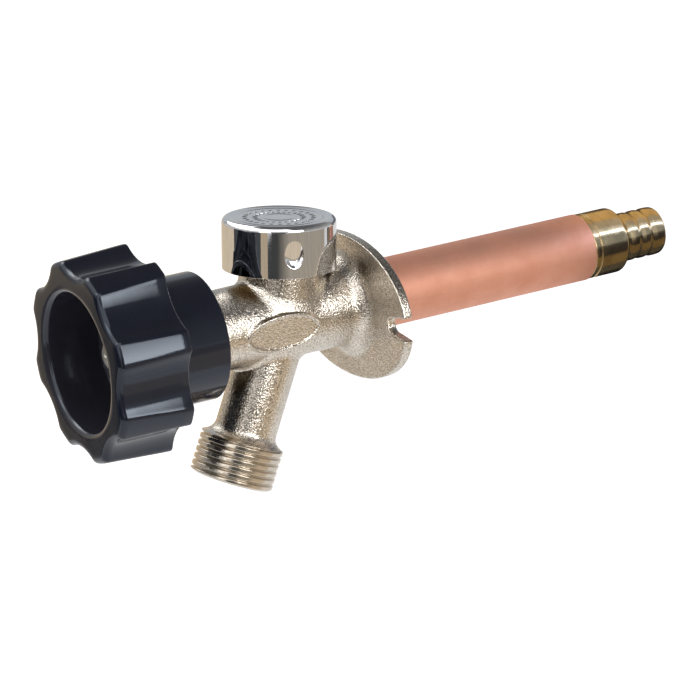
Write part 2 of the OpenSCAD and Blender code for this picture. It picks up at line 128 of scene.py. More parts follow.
def capped_surface(rings):
    """Points and faces of a row of rings whose first and last rings are closed by flat faces."""
    points, faces = ring_surface(rings)
    count = len(rings[0])
    last = len(points) - count
    faces = faces[:-count]
    faces.append(list(range(count)))
    faces.append(list(range(last, len(points))))
    return points, faces


def unit(vector):
    return vector / np.linalg.norm(vector)


def rounded(corners, steps=6):
    """A profile with rounded corners, from (radius, station, rounding) in order around a closed loop."""
    path = []
    for i, (radius, station, rounding) in enumerate(corners):
        here = np.array([radius, station], float)
        to_last = np.array(corners[i - 1][:2], float) - here
        to_next = np.array(corners[(i + 1) % len(corners)][:2], float) - here
        if rounding == 0:
            path.append(here)
            continue
        a, b = unit(to_last), unit(to_next)
        half = math.acos(np.clip(a @ b, -1, 1)) / 2
        room = CORNER_ROOM * min(np.linalg.norm(to_last), np.linalg.norm(to_next))
        rounding = min(rounding, room * math.tan(half))
        centre = here + unit(a + b) * rounding / math.sin(half)
        start = here + a * rounding / math.tan(half) - centre
        sweep = math.pi - 2 * half
        if start[0] * (here - centre)[1] - start[1] * (here - centre)[0] < 0:
            sweep = -sweep
        for share in np.linspace(0, 1, steps + 1):
            c, s = math.cos(sweep * share), math.sin(sweep * share)
            path.append(centre + [c * start[0] - s * start[1], s * start[0] + c * start[1]])
    return path


def lathe(axis, profile, columns=144):
    """A closed profile of (radius, station) points turned about an axis."""
    angles = turn_angles(columns)
    return ring_surface([axis.place(radius, angles, station) for radius, station in profile])


def crossing_middles(field, cells):
    """Middle, in each cell, of the places on its edges where the field changes sign."""
    values = [field[tuple((cells + corner).T)] for corner in CELL_CORNERS]
    crossings = np.zeros((len(cells), 3))
    counts = np.zeros(len(cells))
    for a, b in itertools.combinations(range(len(CELL_CORNERS)), 2):
        edge = CELL_CORNERS[b] - CELL_CORNERS[a]
        if np.abs(edge).sum() != 1:
            continue
        cuts = (values[a] < 0) != (values[b] < 0)
        share = np.where(cuts, values[a] / np.where(cuts, values[a] - values[b], 1), 0)
        crossings += cuts[:, None] * (CELL_CORNERS[a] + share[:, None] * edge)
        counts += cuts
    return crossings / counts[:, None]


def crossing_faces(inside, number, axis):
    """Quads round the grid edges along one axis whose ends lie on two sides of the surface."""
    size = np.array(number.shape)
    u, v = (axis + 1) % 3, (axis + 2) % 3
    before = np.take(inside, range(size[axis]), axis)
    after = np.take(inside, range(1, size[axis] + 1), axis)
    edges = np.argwhere(before != after)
    edges = edges[np.all((edges[:, [u, v]] > 0) & (edges[:, [u, v]] < size[[u, v]]), 1)]
    step_u, step_v = np.eye(3, dtype=int)[[u, v]]
    around = [edges, edges - step_u, edges - step_u - step_v, edges - step_v]
    quads = np.stack([number[tuple(cell.T)] for cell in around], 1)
    flip = before[tuple(edges.T)]
    quads[~flip] = quads[~flip][:, ::-1]
    return quads.tolist()


def surface_nets(field, low, step):
    """Points and faces where a sampled field changes sign. It is negative inside."""
    inside = field < 0
    size = np.array(field.shape) - 1
    total = np.zeros(size, np.int8)
    for i, j, k in CELL_CORNERS:
        total += inside[i:i + size[0], j:j + size[1], k:k + size[2]]
    active = (total > 0) & (total < len(CELL_CORNERS))
    cells = np.argwhere(active)
    number = np.full(size, -1, np.int32)
    number[active] = np.arange(len(cells))
    points = low + step * (cells + crossing_middles(field, cells))
    faces = [face for axis in range(3) for face in crossing_faces(inside, number, axis)]
    return points, faces


def grid(low, high, step):
    """Sample coordinates of a box, as three arrays that spread to its full size."""
    axes = [np.arange(a, b + step, step, dtype=np.float32) for a, b in zip(low, high)]
    return axes[0][:, None, None], axes[1][None, :, None], axes[2][None, None, :]


def make_piece(name, shape, material, node, sharp=40.0, masks=None):
    """A piece that stands for a CAD node and rides on its body."""
    points, faces = shape
    mesh = bpy.data.meshes.new(name)
    mesh.from_pydata((np.asarray(points) * MM).tolist(), [], faces)
    work = bmesh.new()
    work.from_mesh(mesh)
    bmesh.ops.recalc_face_normals(work, faces=work.faces)
    work.to_mesh(mesh)
    work.free()
    mesh.shade_smooth()
    mesh.set_sharp_from_angle(angle=math.radians(sharp))
    for mask, values in (masks or {}).items():
        attribute = mesh.attributes.new(mask, "FLOAT", "POINT")
        attribute.data.foreach_set("value", np.asarray(values, np.float32))
    mesh.materials.append(material)
    piece = bpy.data.objects.new(name, mesh)
    bpy.context.scene.collection.objects.link(piece)
    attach(piece, body_of[node])
    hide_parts(node)


# Materials. Most values of a noise lie in MOST_NOISE.

MOST_NOISE = (0.3, 0.7)


class Finish:
    """A Principled material with short calls for its texture nodes."""

    def __init__(self, name, metallic=0.0, tint=(1.0, 1.0, 1.0)):
        self.material = bpy.data.materials.new(name)
        self.material.use_nodes = True
        self.tree = self.material.node_tree
        self.shader = self.tree.nodes["Principled BSDF"]
        self.shader.inputs["Metallic"].default_value = metallic
        self.shader.inputs["Specular Tint"].default_value = (*tint, 1.0)
        self.place = self.node("ShaderNodeTexCoord").outputs["Object"]

    def node(self, kind, **settings):
        node = self.tree.nodes.new(kind)
        for key, value in settings.items():
            setattr(node, key, value)
        return node

    def feed(self, socket, source):
        if isinstance(source, bpy.types.NodeSocket):
            self.tree.links.new(source, socket)
        else:
            socket.default_value = source

    def noise(self, size, detail=2.0, roughness=0.5, stretch=(1.0, 1.0, 1.0)):
        """Noise with features of about size millimetres, drawn out along axes with a larger stretch."""
        mapping = self.node("ShaderNodeMapping")
        mapping.inputs["Scale"].default_value = [1 / (size * MM * s) for s in stretch]
        self.feed(mapping.inputs["Vector"], self.place)
        texture = self.node("ShaderNodeTexNoise")
        texture.inputs["Scale"].default_value = 1.0
        texture.inputs["Detail"].default_value = detail
        texture.inputs["Roughness"].default_value = roughness
        self.feed(texture.inputs["Vector"], mapping.outputs["Vector"])
        return texture.outputs["Fac"]

    def mask(self, name):
        return self.node("ShaderNodeAttribute", attribute_name=name).outputs["Fac"]

    def span(self, source, low, high, to_low=0.0, to_high=1.0):
        """Maps low..high of a value to another range, clamped."""
        node = self.node("ShaderNodeMapRange")
        sockets = ("From Min", "From Max", "To Min", "To Max")
        for socket, value in zip(sockets, (low, high, to_low, to_high)):
            node.inputs[socket].default_value = value
        self.feed(node.inputs["Value"], source)
        return node.outputs["Result"]

    def math(self, operation, a, b):
        node = self.node("ShaderNodeMath", operation=operation)
        self.feed(node.inputs[0], a)
        self.feed(node.inputs[1], b)
        return node.outputs["Value"]

    def blend(self, share, a, b):
        """Mixes two colours."""
        node = self.node("ShaderNodeMix", data_type="RGBA")
        for socket, value in (("A_Color", a), ("B_Color", b)):
            target = next(s for s in node.inputs if s.identifier == socket)
            self.feed(target, value if isinstance(value, bpy.types.NodeSocket) else (*value, 1.0))
        self.feed(next(s for s in node.inputs if s.identifier == "Factor_Float"), share)
        return next(s for s in node.outputs if s.identifier == "Result_Color")

    def color(self, source):
        self.feed(self.shader.inputs["Base Color"], source)

    def roughness(self, source):
        self.feed(self.shader.inputs["Roughness"], source)

    def bump(self, height, depth, strength=1.0):
        """Surface relief of about depth millimetres from a 0..1 height."""
        node = self.node("ShaderNodeBump")
        node.inputs["Distance"].default_value = depth * MM
        self.feed(node.inputs["Strength"], strength)
        self.feed(node.inputs["Height"], height)
        self.feed(self.shader.inputs["Normal"], node.outputs["Normal"])


def nickel_casting():
    """Nickel plated sand casting: warm, grainy where cast and finely turned where machined."""
    dark, light = (0.70, 0.637, 0.553), (0.77, 0.708, 0.626)
    pit, turned = (0.30, 0.268, 0.226), (0.59, 0.53, 0.45)
    finish = Finish("nickel_casting", metallic=1.0)
    machined = finish.mask("machined")
    grain = finish.noise(0.5, detail=1.5, roughness=0.5)
    specks = finish.noise(0.36, detail=1.0)
    patches = finish.noise(6.0, detail=3.0)
    tone = finish.blend(finish.span(patches, 0.35, 0.65), dark, light)
    pitted = finish.blend(finish.span(specks, 0.34, 0.56), pit, tone)
    finish.color(finish.blend(machined, pitted, turned))
    rough = finish.span(patches, *MOST_NOISE, 0.15, 0.20)
    rough = finish.math("ADD", rough, finish.math("MULTIPLY", finish.mask("satin"), 0.09))
    finish.roughness(finish.math("SUBTRACT", rough, finish.math("MULTIPLY", machined, 0.03)))
    finish.bump(grain, 0.17, finish.span(machined, 0.0, 1.0, 1.0, 0.2))
    return finish.material


def black_plastic():
    """Glossy moulded handle plastic with a blue cast and a satin front; the cup is coloured greyer, a
    painted fill light in its shaded hollow.
    """
    dark, light = (0.012, 0.013, 0.023), (0.014, 0.015, 0.026)
    # The cup colour is lighter than the knob's own plastic: painted light in the cup's shaded hollow.
    front, cup = (0.008, 0.012, 0.025), (0.038, 0.037, 0.050)
    finish = Finish("black_plastic", tint=(0.80, 0.89, 1.0))
    satin = finish.mask("satin")
    haze = finish.noise(9.0, detail=3.0)
    tone = finish.blend(finish.span(haze, *MOST_NOISE), dark, light)
    tone = finish.blend(satin, tone, front)
    # The cup mask swaps in the painted light colour for the cup's hollow.
    finish.color(finish.blend(finish.mask("cup"), tone, cup))
    finish.feed(finish.shader.inputs["Specular IOR Level"], finish.span(satin, 0.0, 1.0, 0.5, 0.3))
    gloss = finish.span(haze, *MOST_NOISE, 0.09, 0.14)
    finish.roughness(finish.math("ADD", gloss, finish.math("MULTIPLY", satin, 0.08)))
    finish.bump(finish.noise(0.5, detail=2.0), 0.02, finish.span(satin, 0.0, 1.0, 0.15, 0.7))
    return finish.material


def chrome():
    """Mirror plating with faint streaks and a rougher top disc."""
    dark, light = (0.70, 0.70, 0.71), (0.78, 0.78, 0.79)
    finish = Finish("chrome", metallic=1.0)
    disc = finish.mask("disc")
    streaks = finish.noise(0.6, detail=2.0, stretch=(1.0, 1.0, 14.0))
    finish.color(finish.blend(finish.span(streaks, *MOST_NOISE), dark, light))
    finish.roughness(finish.span(disc, 0.0, 1.0, 0.05, 0.16))
    finish.bump(finish.noise(0.35, detail=2.0), 0.05, finish.span(disc, 0.0, 1.0, 0.03, 0.5))
    return finish.material


def copper():
    """Drawn copper tube: satin, with draw lines along the tube and soft tarnish."""
    bright, tarnished, line = (0.73, 0.385, 0.28), (0.68, 0.345, 0.242), (0.60, 0.29, 0.19)
    finish = Finish("copper", metallic=1.0)
    lines = finish.noise(0.35, detail=2.0, stretch=(1.0, 60.0, 1.0))
    tarnish = finish.noise(11.0, detail=4.0, roughness=0.6)
    tone = finish.blend(finish.span(tarnish, 0.35, 0.68), bright, tarnished)
    finish.color(finish.blend(finish.span(lines, 0.25, 0.5, 0.25, 0.0), tone, line))
    finish.roughness(finish.span(tarnish, *MOST_NOISE, 0.56, 0.68))
    finish.bump(lines, 0.03, 0.5)
    return finish.material


def brass(name, color, polish):
    """Turned brass with fine tool lines around its axis."""
    uneven = 0.045
    finish = Finish(name, metallic=1.0)
    lines = finish.noise(0.28, detail=3.0, stretch=(40.0, 1.0, 40.0))
    stain = finish.noise(4.0, detail=3.0)
    dull = [0.72 * c for c in color]
    finish.color(finish.blend(finish.span(stain, 0.35, 0.7), color, dull))
    finish.roughness(finish.span(lines, *MOST_NOISE, polish - uneven, polish + uneven))
    finish.bump(lines, 0.02, 0.5)
    return finish.material


def plain_finish(name, color, size, roughness, depth, metallic=0.0):
    """A material with mottled colour, uneven gloss and a fine relief."""
    uneven = 0.06
    dark, light = [0.8 * c for c in color], [1.1 * c for c in color]
    finish = Finish(name, metallic=metallic)
    mottle = finish.noise(size, detail=3.0)
    finish.color(finish.blend(finish.span(mottle, *MOST_NOISE), dark, light))
    finish.roughness(finish.span(mottle, *MOST_NOISE, roughness - uneven, roughness + uneven))
    finish.bump(mottle, depth, 0.5)
    return finish.material


finishes = {
    "nickel_casting": nickel_casting(),
    "copper": copper(),
    "brass": brass("brass", (0.60, 0.455, 0.245), 0.195),
    "black_plastic": black_plastic(),
    "chrome": chrome(),
    "steel": plain_finish("steel", (0.70, 0.69, 0.66), 0.8, 0.36, 0.02, metallic=1.0),
    "rubber": plain_finish("rubber", (0.02, 0.02, 0.02), 0.6, 0.65, 0.03),
    "graphite": plain_finish("graphite", (0.06, 0.06, 0.065), 0.4, 0.5, 0.05),
    "acetal": plain_finish("acetal", (0.78, 0.77, 0.72), 2.0, 0.4, 0.01),
}
# The CAD nodes that still show lie inside the part, and their brass is painted much darker: painted shade
# for parts that sit in the shade inside
inside_finishes = dict(finishes, brass=brass("painted_shade_brass", (0.26, 0.19, 0.10), 0.36))
for node, piece in nodes.items():
    if not piece.material_slots:
        piece.data.materials.append(None)
    for holder in piece.material_slots:
        holder.material = inside_finishes[slot_of[node]]


# Casting: barrel, flange, spout and vacuum breaker boss as one blended field

VOXEL = 0.32
FRONT_Y = -61.0
NUT_THREAD_R, NUT_THREAD_END = 11.6, -56.0
BARREL_R, NECK_R, NECK_FILLET = 12.8, 13.7, 5.0
FLANGE_W, FLANGE_H, FLANGE_T, FLANGE_DROP = 73.6, 47.0, 3.2, 0.9
FLANGE_EDGE, FLANGE_POWER = 0.35, 2.1
NOTCH_W, NOTCH_DEPTH, NOTCH_DROP, NOTCH_FLARE = 5.2, 10.8, 2.2, math.radians(8)
RELIEF_W, RELIEF_DEPTH = 3.0, 1.4
BOSS_R, BOSS_H, BOSS_FILLET = 13.0, 17.4, 2.2
SPOUT_R, SPOUT_LEN, SPOUT_FILLET = 10.0, 54.2, 1.8
HOSE_R, HOSE_PITCH, HOSE_TURNS, HOSE_DEPTH = 13.485, 2.209, 6, 0.85
HOSE_TOP = SPOUT_LEN - HOSE_TURNS * HOSE_PITCH
HOSE_CROWN, HOSE_GROOVE_SIDE = 0.03, (0.5, 0.95)
HOSE_CHAMFER, HOSE_LEAD_SLOPE, HOSE_LAP = 1.3, 1.8, 0.1
FLARE_LEN, FLARE_POWER, FLARE_SCALE = 4.2, 2.4, 0.8
HOSE_BORE_R, HOSE_MOUTH_R, HOSE_MOUTH_DEPTH = 7.3, 9.5, 9.0
HOSE_COLUMNS, HOSE_ROWS = 288, 150
OVAL_Y, OVAL_UP, OVAL_HALF_L, OVAL_HALF_H = -32.7, 0.9, 13.2, 6.2
OVAL_FACE, OVAL_TILT = 13.35, math.radians(-10)
OVAL_RIM_W, OVAL_FIELD_SET, OVAL_EDGE = 1.0, 0.5, 0.25
SOCKET_Y, PAST_WALL_Y = -12.0, 9.0
CHAMBER_Y, CHAMBER_R, GUIDE_R = -37.0, 10.0, 7.0
PACKING_BOX_Y, PACKING_BOX_R = -54.0, 9.0
PORT_R, BONNET_R, BONNET_LOW = 5.5, 10.0, 11.3
BORE_ROOM, OVERLAP = 0.15, 1.0
MACHINED_FADE, MACHINED_R = 0.6, 15.0
SATIN_START, SATIN_END = (-1.2, -0.2), (0.1, 0.5)
SAND_SIZE, SAND_DEPTH, WAVE_SIZE, WAVE_DEPTH = 0.8, 0.05, 5.0, 0.05


def bar(station, radius, start, end, bar_r):
    """Field of a round bar between two stations."""
    return np.maximum(radius - bar_r, np.maximum(start - station, station - end))


def union(a, b, fillet):
    """Joins two fields with a round fillet between them."""
    hollow = np.hypot(np.maximum(fillet - a, 0), np.maximum(fillet - b, 0))
    return np.maximum(fillet, np.minimum(a, b)) - hollow


def common(a, b, edge):
    """What two fields share, with a rounded edge."""
    return -union(-a, -b, edge)


def oval_distance(x, y, half_x, half_y, power=2.0):
    """About how far points lie outside an oval. A higher power fills its shoulders more."""
    a, b = np.abs(x) / half_x, np.abs(y) / half_y
    near = (a ** power + b ** power + 1e-9) ** (1 / power)
    slope = np.hypot((a / near) ** (power - 1) / half_x, (b / near) ** (power - 1) / half_y)
    return (near - 1) / slope


def flange_field(x, y, z):
    """The oval wall flange with its open screw notches."""
    oval = oval_distance(x, z + FLANGE_DROP, FLANGE_W / 2, FLANGE_H / 2, FLANGE_POWER)
    along = np.abs(x) - (FLANGE_W / 2 - NOTCH_DEPTH + NOTCH_W / 2)
    across = np.abs(z + NOTCH_DROP)
    straight = (across - NOTCH_W / 2 - along * math.tan(NOTCH_FLARE)) * math.cos(NOTCH_FLARE)
    notch = np.where(along > 0, straight, np.hypot(along, across) - NOTCH_W / 2)
    outline = common(oval, -notch, FLANGE_EDGE)
    return common(outline, np.maximum(-FLANGE_T - y, y), FLANGE_EDGE)


def spout_field(station, radius):
    """The spout, flaring to the top of its hose thread."""
    flare = np.clip((station - HOSE_TOP) / FLARE_LEN + 1, 0, 1) ** FLARE_POWER
    outer = SPOUT_R + (HOSE_R - SPOUT_R) * flare
    return bar(station, (radius - outer) * FLARE_SCALE, 0.0, HOSE_TOP, 0.0)


def hose_radius(station, angle):
    """Outside of the helical hose thread, with broad crests, narrow grooves and a lead-in at its end."""
    turn = (station - HOSE_TOP) / HOSE_PITCH - angle / (2 * math.pi)
    off_crest = 2 * np.abs(turn - np.floor(turn) - 0.5)
    groove = HOSE_DEPTH * smooth_step(*HOSE_GROOVE_SIDE, off_crest) + HOSE_CROWN * off_crest ** 2
    lead_in = HOSE_R - HOSE_CHAMFER + HOSE_LEAD_SLOPE * (SPOUT_LEN - station)
    return np.minimum(HOSE_R - groove, lead_in)


def add_oval(body, x, y, z):
    """Adds the plain oval pad on the barrel's right side: a flat face with a rim round a sunk field."""
    out = x * math.cos(OVAL_TILT) + z * math.sin(OVAL_TILT)
    up = z * math.cos(OVAL_TILT) - x * math.sin(OVAL_TILT) - OVAL_UP
    along = y - OVAL_Y
    edge = oval_distance(along, up, OVAL_HALF_L, OVAL_HALF_H)
    pad = common(edge, np.maximum(out - OVAL_FACE, NUT_THREAD_R - out), OVAL_EDGE)
    sunk = np.maximum(edge + OVAL_RIM_W, OVAL_FACE - OVAL_FIELD_SET - out)
    return np.maximum(union(body, pad, OVAL_EDGE), -sunk)


def casting_field(x, y, z):
    """The whole casting with its bores."""
    tube_s, tube_r = TUBE.read(x, y, z)
    spout_s, spout_r = SPOUT.read(x, y, z)
    boss_s, boss_r = BREAKER.read(x, y, z)
    barrel_r = BARREL_R + (NECK_R - BARREL_R) * np.clip((y - FRONT_Y) / -FRONT_Y, 0, 1)
    barrel = bar(tube_s, tube_r - barrel_r, NUT_THREAD_END, -FLANGE_T / 2, 0.0)
    front = bar(tube_s, tube_r, FRONT_Y, NUT_THREAD_END + OVERLAP, NUT_THREAD_R)
    body = union(np.minimum(barrel, front), spout_field(spout_s, spout_r), SPOUT_FILLET)
    body = union(body, bar(boss_s, boss_r, 0.0, BOSS_H, BOSS_R), BOSS_FILLET)
    body = union(body, flange_field(x, y, z), NECK_FILLET)
    body = add_oval(body, x, y, z)
    socket_r = reach("supply_tube")[1][0]
    bores = [
        bar(tube_s, tube_r, SOCKET_Y, PAST_WALL_Y, socket_r + BORE_ROOM),
        bar(tube_s, tube_r, CHAMBER_Y, SOCKET_Y + OVERLAP, CHAMBER_R),
        bar(tube_s, tube_r, PACKING_BOX_Y - OVERLAP, CHAMBER_Y + OVERLAP, GUIDE_R + BORE_ROOM),
        bar(tube_s, tube_r, FRONT_Y - OVERLAP, PACKING_BOX_Y, PACKING_BOX_R),
        bar(spout_s, spout_r, 0.0, SPOUT_LEN + OVERLAP, HOSE_BORE_R),
        bar(boss_s, boss_r, 0.0, BOSS_H + OVERLAP, PORT_R),
        bar(boss_s, boss_r, BONNET_LOW, BOSS_H + OVERLAP, BONNET_R + BORE_ROOM),
        bar(tube_s, tube_r, -RELIEF_DEPTH, PAST_WALL_Y, socket_r + RELIEF_W),
    ]
    for bore in bores:
        body = np.maximum(body, -bore)
    return body


def vertex_normals(points, faces):
    """Outward directions at the points of a mesh of quads."""
    corners = points[faces]
    spans = np.cross(corners[:, 2] - corners[:, 0], corners[:, 3] - corners[:, 1])
    normals = np.zeros_like(points)
    for i in range(4):
        np.add.at(normals, faces[:, i], spans)
    return normals / np.maximum(np.linalg.norm(normals, axis=1, keepdims=True), 1e-12)


def noise_at(points, size):
    """Smooth noise between 0 and 1 with features of about size millimetres."""
    return np.array([0.5 + 0.5 * noise.noise(Vector(p)) for p in (points / size).tolist()])


def casting():
    """The casting with its grain, kept inside the CAD node's box."""
    low, high = reach("valve_body")
    low, high = low - 2 * VOXEL, high + 2 * VOXEL
    points, faces = surface_nets(casting_field(*grid(low, high, VOXEL)), low, VOXEL)
    station, radius = SPOUT.read(*points.T)
    machined = smooth_step(HOSE_TOP - MACHINED_FADE, HOSE_TOP, station) * (radius < MACHINED_R)
    depth = points[:, 1] + FLANGE_T
    satin = smooth_step(*SATIN_START, depth) * (1 - smooth_step(*SATIN_END, depth))
    sand = SAND_DEPTH * noise_at(points, SAND_SIZE) + WAVE_DEPTH * noise_at(points, WAVE_SIZE)
    outward = vertex_normals(points, np.array(faces))
    points = np.clip(points - outward * (sand * (1 - machined))[:, None], *reach("valve_body"))
    make_piece("body_casting", (points, faces), finishes["nickel_casting"], "valve_body",
               sharp=180.0, masks={"machined": machined, "satin": satin})


def hose_thread():
    """The turned hose thread at the spout's end, with its bore."""
    angles = turn_angles(HOSE_COLUMNS)
    inside = HOSE_TOP - OVERLAP
    mouth = SPOUT_LEN - HOSE_MOUTH_DEPTH
    rings = [SPOUT.place(HOSE_R - 2 * HOSE_DEPTH, angles, inside)]
    for station in np.linspace(HOSE_TOP - HOSE_LAP, SPOUT_LEN, HOSE_ROWS):
        rings.append(SPOUT.place(hose_radius(station, angles), angles, station))
    for radius, station in ((HOSE_MOUTH_R, SPOUT_LEN), (HOSE_MOUTH_R, mouth), (HOSE_BORE_R, mouth),
                            (HOSE_BORE_R, inside)):
        rings.append(SPOUT.place(radius, angles, station))
    points, faces = ring_surface(rings)
    make_piece("hose_thread", (points, faces), finishes["nickel_casting"], "valve_body",
               sharp=50.0, masks={"machined": np.ones(len(points)), "satin": np.zeros(len(points))})


casting()
hose_thread()


# Handle: a lobed grip with a front cup and a skirt

GRIP_FRONT_R, GRIP_BACK_R = 31.8, 32.9
GRIP_BACK_Y, SKIRT_R, SKIRT_WALL = -74.7, 20.5, 1.9
LOBES, LOBE_TURN = 8, math.radians(-16.2)
SCALLOP_R, SCALLOP_DEPTH, LOBE_EDGE = 16.6, 4.3, 0.7
GRIP_ROUND, GRIP_BACK_ROUND, CUP_ROUND = 2.2, 0.8, 1.8
CUP_R, CUP_FLOOR_R, CUP_DEPTH = 22.0, 21.2, 19.4
CUP_FOOT_ROUND, PAST_LIP = 2.0, 8.0
KNOB_BOSS_R, KNOB_BOSS_H, KNOB_BOSS_DRAFT, WEB_T = 11.5, 6.0, 0.3, 4.0
KNOB_BOSS_ROUND, KNOB_BOSS_FOOT = 0.8, 1.0
SKIRT_FOOT, SKIRT_RIM, SKIRT_INNER_RIM, SKIRT_ROOT, PAST_SKIRT = 1.2, 0.6, 0.4, 1.0, 3.0
SCREW_HOLE_R, DRIVE_R, DRIVE_SET = 2.1, 4.75, 0.5
COLUMNS_PER_LOBE, LOBE_BUNCHING = 56, 0.075
FACE_SHARES, EDGE_ROWS, SIDE_ROWS, BACK_ROWS = (0.25, 0.5, 0.75), 9, 8, 5


def lobe_angles():
    """Angles around the grip, closer together at the lobes' edges."""
    even = np.linspace(0, 1, COLUMNS_PER_LOBE, endpoint=False)
    bunched = even + LOBE_BUNCHING * np.sin(4 * math.pi * even)
    steps = np.arange(LOBES)[:, None] + bunched[None, :]
    return LOBE_TURN + 2 * math.pi / LOBES * steps.ravel()


def lobe_radius(angles, crest_r, inset):
    """Radius of the grip's outline at these angles, drawn in by inset."""
    centre_r = GRIP_BACK_R - SCALLOP_DEPTH + SCALLOP_R
    period = 2 * math.pi / LOBES
    off = (angles - LOBE_TURN) % period - period / 2
    room = (SCALLOP_R + inset) ** 2 - (centre_r * np.sin(off)) ** 2
    scallop = centre_r * np.cos(off) - np.sqrt(np.maximum(room, 0))
    crest = np.full_like(angles, crest_r - inset)
    scallop = np.where(room > 0, scallop, crest + 2 * LOBE_EDGE)
    share = np.clip(0.5 + (crest - scallop) / (2 * LOBE_EDGE), 0, 1)
    return crest + (scallop - crest) * share - LOBE_EDGE * share * (1 - share)


def cup_profile(front, web):
    """From the stem's drive through the screw hole and the cup to the cup's lip."""
    floor = front + CUP_DEPTH
    boss = floor - KNOB_BOSS_H
    drive = boss + DRIVE_SET
    return rounded([
        (DRIVE_R, web, 0), (DRIVE_R, drive, 0), (SCREW_HOLE_R, drive, 0), (SCREW_HOLE_R, boss, 0),
        (KNOB_BOSS_R, boss, KNOB_BOSS_ROUND), (KNOB_BOSS_R + KNOB_BOSS_DRAFT, floor, KNOB_BOSS_FOOT),
        (CUP_FLOOR_R, floor, CUP_FOOT_ROUND), (CUP_R, front, CUP_ROUND), (CUP_R + PAST_LIP, front, 0),
    ])[:-1]


def grip_rows(angles, front, lip_r):
    """Outline, station and satin share of each ring from the cup's lip over the lobes to the back face."""
    rows = []
    face = lobe_radius(angles, GRIP_FRONT_R, GRIP_ROUND)
    for share in FACE_SHARES:
        rows.append((lip_r + (face - lip_r) * share, front, 1.0))
    for bend in np.linspace(0, math.pi / 2, EDGE_ROWS):
        outline = lobe_radius(angles, GRIP_FRONT_R, GRIP_ROUND * (1 - math.sin(bend)))
        rows.append((outline, front + GRIP_ROUND * (1 - math.cos(bend)), 1.0 - math.sin(bend)))
    side_start, side_end = front + GRIP_ROUND, GRIP_BACK_Y - GRIP_BACK_ROUND
    for share in np.linspace(0, 1, SIDE_ROWS)[1:]:
        outline = lobe_radius(angles, GRIP_FRONT_R + (GRIP_BACK_R - GRIP_FRONT_R) * share, 0.0)
        rows.append((outline, side_start + (side_end - side_start) * share, 0.0))
    for bend in np.linspace(0, math.pi / 2, BACK_ROWS)[1:]:
        outline = lobe_radius(angles, GRIP_BACK_R, GRIP_BACK_ROUND * (1 - math.cos(bend)))
        rows.append((outline, side_end + GRIP_BACK_ROUND * math.sin(bend), 0.0))
    return rows


def skirt_profile(rim, web):
    """From the grip's back face round the skirt to the web."""
    inner = SKIRT_R - SKIRT_WALL
    return rounded([
        (SKIRT_R + PAST_SKIRT, GRIP_BACK_Y, 0), (SKIRT_R, GRIP_BACK_Y, SKIRT_FOOT),
        (SKIRT_R, rim, SKIRT_RIM), (inner, rim, SKIRT_INNER_RIM), (inner, web, SKIRT_ROOT),
        (DRIVE_R, web, 0),
    ])[:-1]


def knob():
    low, high = reach("handle_knob")
    front, rim = low[1], high[1]
    web = front + CUP_DEPTH + WEB_T
    angles = lobe_angles()
    cup = cup_profile(front, web)
    rows = [(radius, station, 0.0) for radius, station in cup]
    rows += grip_rows(angles, front, cup[-1][0])
    rows += [(radius, station, 0.0) for radius, station in skirt_profile(rim, web)]
    rings = [TUBE.place(radius, angles, station) for radius, station, _ in rows]
    satin = [share for _, _, share in rows]
    # The cup mask marks where the plastic gets its painted fill light.
    in_cup = [float(i < len(cup)) for i in range(len(rows))]
    masks = {"satin": np.repeat(satin, len(angles)), "cup": np.repeat(in_cup, len(angles))}
    make_piece("knob", ring_surface(rings), finishes["black_plastic"], "handle_knob",
               sharp=50.0, masks=masks)


knob()


# Handle screw: a pan head with a cross recess, on the washer in the cup

SCREW_HEAD_R, SCREW_HEAD_H, SCREW_HEAD_ROUND, SCREW_SHANK_R = 4.2, 2.0, 0.9, 2.0
RECESS_HALF_W, RECESS_TAPER, RECESS_DEPTH = 2.1, 0.7, 1.3
BLADE_HALF_T, BLADE_TAPER = 0.5, 0.12
SCREW_VOXEL = 0.14


def screw_field(x, y, z):
    """Head, shank and cross recess."""
    low, high = reach("handle_screw")
    head, tip = low[1], high[1]
    radius, depth = np.hypot(x, z), y - head
    flats = np.maximum(head - y, y - head - SCREW_HEAD_H)
    dome = common(radius - SCREW_HEAD_R, flats, SCREW_HEAD_ROUND)
    shank = bar(y, radius, head + OVERLAP, tip, SCREW_SHANK_R)
    wing = RECESS_HALF_W - RECESS_TAPER * depth
    blade = BLADE_HALF_T - BLADE_TAPER * depth
    arm_x = np.maximum(np.abs(x) - wing, np.abs(z) - blade)
    arm_z = np.maximum(np.abs(z) - wing, np.abs(x) - blade)
    recess = np.maximum(np.minimum(arm_x, arm_z), depth - RECESS_DEPTH)
    return np.maximum(np.minimum(dome, shank), -recess)


def screw():
    low, high = reach("handle_screw")
    low, high = low - 2 * SCREW_VOXEL, high + 2 * SCREW_VOXEL
    shape = surface_nets(screw_field(*grid(low, high, SCREW_VOXEL)), low, SCREW_VOXEL)
    make_piece("knob_screw", shape, finishes["steel"], "handle_screw", sharp=45.0)


screw()


# Vacuum breaker cap: plated shell with punched dimples and a patterned top disc

